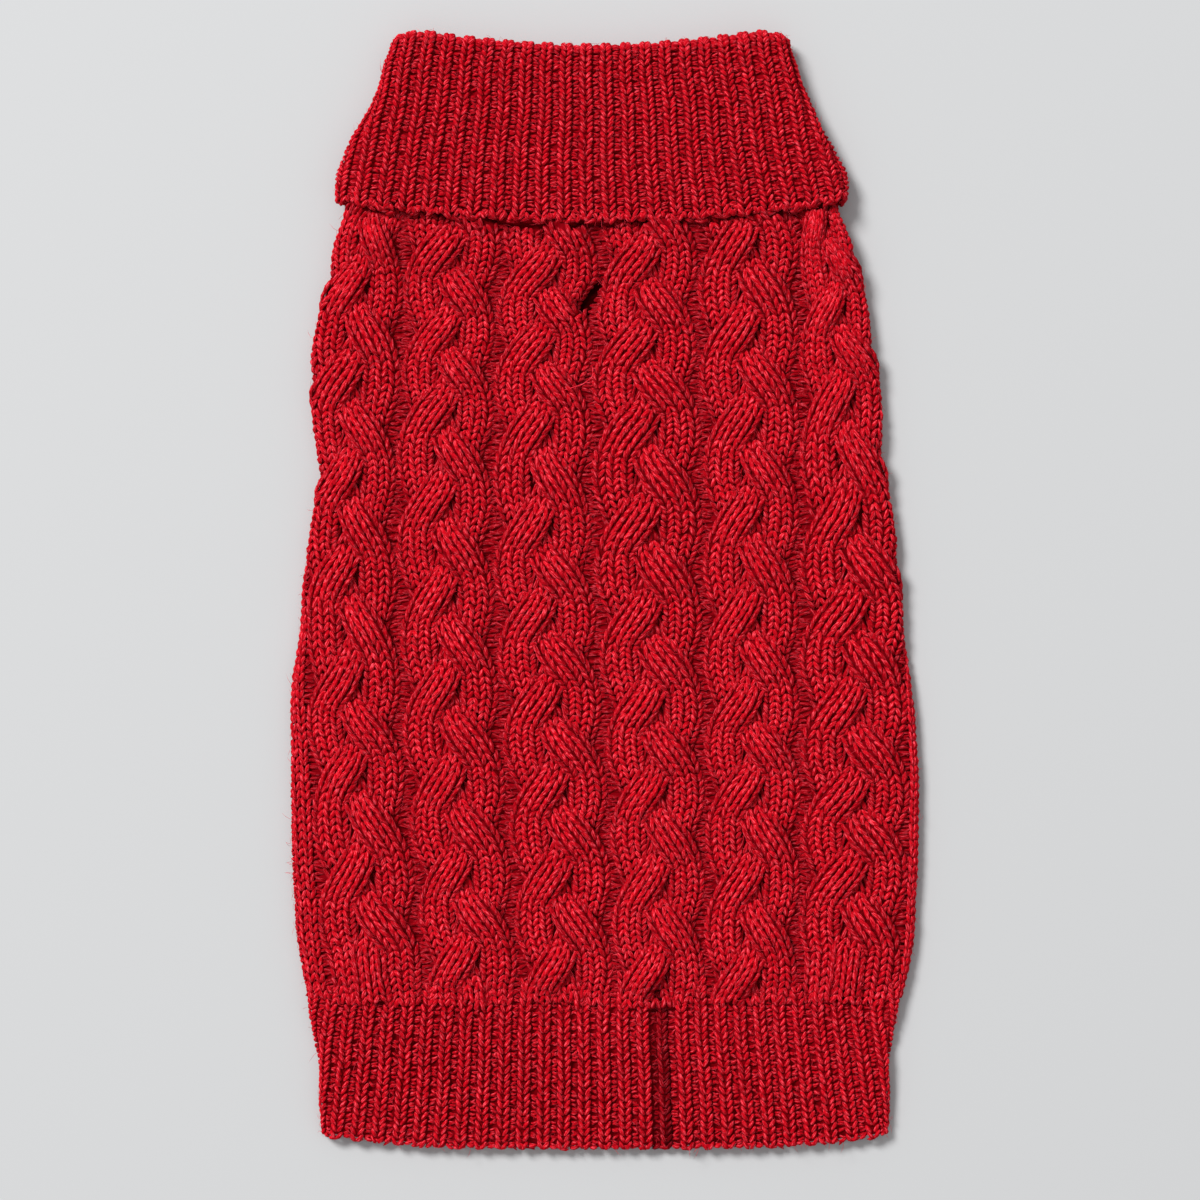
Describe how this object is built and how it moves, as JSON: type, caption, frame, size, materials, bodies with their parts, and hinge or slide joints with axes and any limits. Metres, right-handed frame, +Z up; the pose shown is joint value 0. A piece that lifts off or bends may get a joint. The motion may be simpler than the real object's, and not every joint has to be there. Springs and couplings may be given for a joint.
{
  "type": "dog sweater",
  "caption": "Cable-knit dog sweater laid flat with its back up: plaited cable back, turned-down rib collar, rib hem band, ribbed belly with leg openings, and a leash slit.",
  "frame": {"origin": "middle of the sweater's bounding box, on the surface that it lies on", "axes": "+Y along the back towards the collar, +X across the back, +Z up from the surface"},
  "size_m": [0.2426, 0.4296, 0.0129],
  "materials": {
    "cable_knit": "matt heathered red wool-blend yarn, three-strand plaited cables between purl channels",
    "belly_knit": "matt heathered red wool-blend yarn, two by two rib",
    "rib_knit": "matt heathered red wool-blend yarn, one by one rib"
  },
  "bodies": {
    "root": {"back_panel": "cable_knit", "belly_panel": "belly_knit", "collar": "rib_knit", "hem_band": "rib_knit", "leg_band_left": "rib_knit", "leg_band_right": "rib_knit"}
  },
  "joints": []
}
